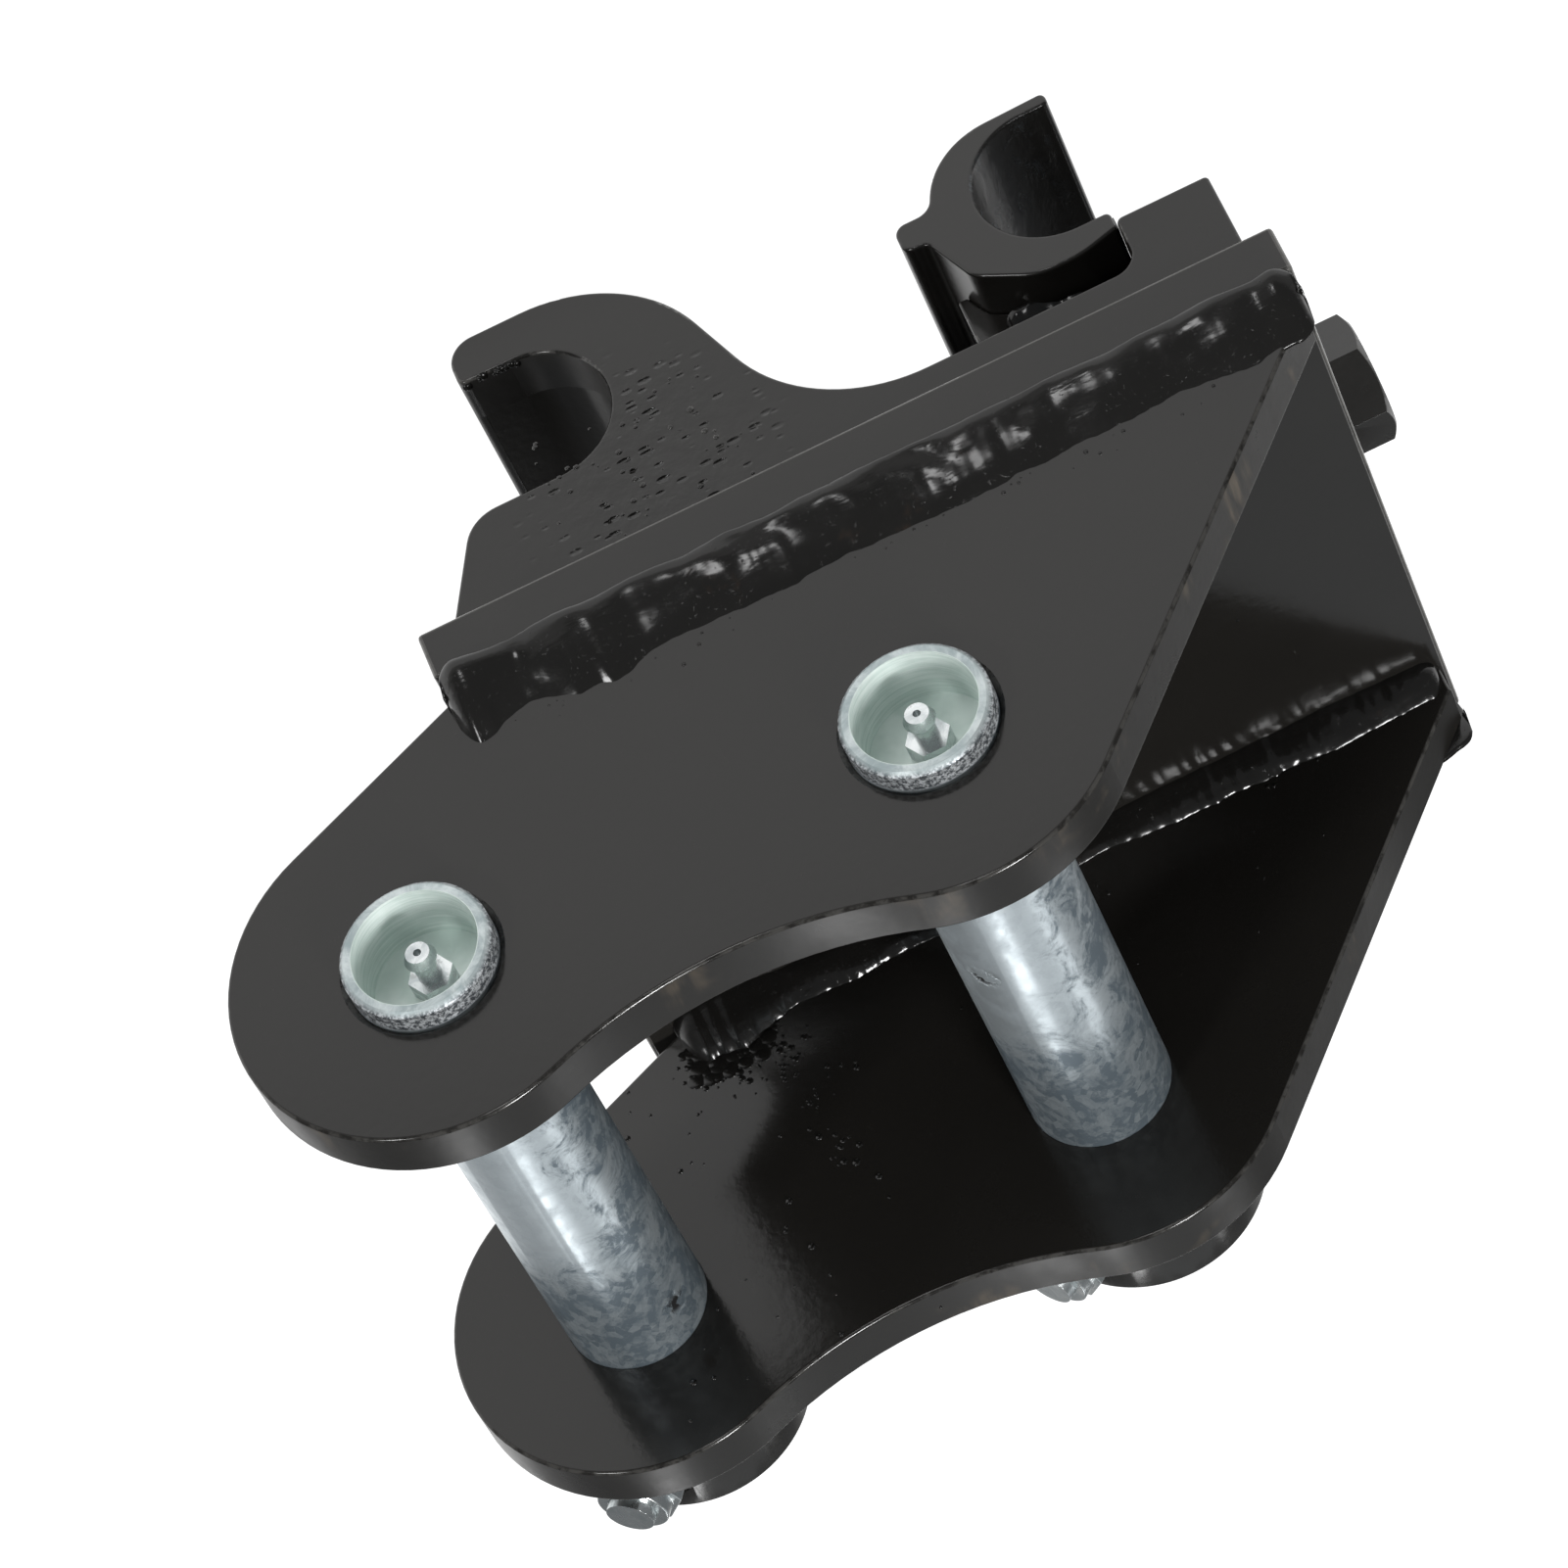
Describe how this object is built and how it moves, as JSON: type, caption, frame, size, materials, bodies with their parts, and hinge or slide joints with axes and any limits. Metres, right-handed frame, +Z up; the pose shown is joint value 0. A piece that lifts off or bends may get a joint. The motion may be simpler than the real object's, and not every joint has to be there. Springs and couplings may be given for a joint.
{
  "type": "quick coupler",
  "caption": "Screw-operated quick coupler for a small excavator: two pinned ears on a base plate over a fixed front hook and a sliding rear jaw that clamps the bucket pins.",
  "frame": {"origin": "centre of the fixed front hook's seat, at mid width", "axes": "+Z up towards the dipper arm, +Y along the pins towards the side with the bosses, +X the way the front hook opens"},
  "size_m": [0.2523, 0.1789, 0.1851],
  "materials": {
    "black_paint": "gloss black enamel over flame-cut plate",
    "weld_paint": "gloss black enamel over rippled weld beads",
    "screw_paint": "thin black paint on a forged screw head, plain shank",
    "zinc_plate": "bright blue-grey zinc plate, mottled",
    "zinc_fastener": "bright zinc plate",
    "plain_steel": "oiled machined steel",
    "bronze": "machined bronze"
  },
  "bodies": {
    "frame": {"base_plate": "black_paint", "dipper_boss_weld": "weld_paint", "dipper_cross_bolt": "zinc_fastener", "dipper_grease_nipple": "zinc_fastener", "dipper_lock_nut": "zinc_fastener", "dipper_pin": "zinc_plate", "dipper_pin_boss": "black_paint", "ear_inner_weld_far": "weld_paint", "ear_inner_weld_near": "weld_paint", "ear_plate_far": "black_paint", "ear_plate_near": "black_paint", "ear_weld_far": "weld_paint", "ear_weld_near": "weld_paint", "frame_weld_far": "weld_paint", "frame_weld_near": "weld_paint", "front_saddle": "black_paint", "hook_plate_far": "black_paint", "hook_plate_near": "black_paint", "jaw_guide_far": "plain_steel", "jaw_guide_near": "plain_steel", "link_boss_weld": "weld_paint", "link_cross_bolt": "zinc_fastener", "link_grease_nipple": "zinc_fastener", "link_lock_nut": "zinc_fastener", "link_pin": "zinc_plate", "link_pin_boss": "black_paint", "screw_block": "black_paint", "thrust_washer": "plain_steel"},
    "jaw": {"jaw_hook": "black_paint", "jaw_carriage": "black_paint", "jaw_nut": "bronze", "jaw_weld_near": "weld_paint", "jaw_weld_far": "weld_paint"},
    "screw": {"clamp_screw": "screw_paint", "thrust_collar": "plain_steel", "collar_roll_pin": "plain_steel"}
  },
  "joints": [
    {"name": "jaw_slide", "type": "slide", "parent": "frame", "child": "jaw", "axis": [1, 0, 0], "range_m": [0, 0.025]},
    {"name": "screw_spin", "type": "hinge", "parent": "frame", "child": "screw", "pos_m": [-0.11, 0, 0.0345], "axis": [-1, 0, 0], "range_deg": [0, 4501]}
  ],
  "couplings": [
    {"joint": "screw_spin", "follows": "jaw_slide", "rad_per_m": 3141.6}
  ]
}
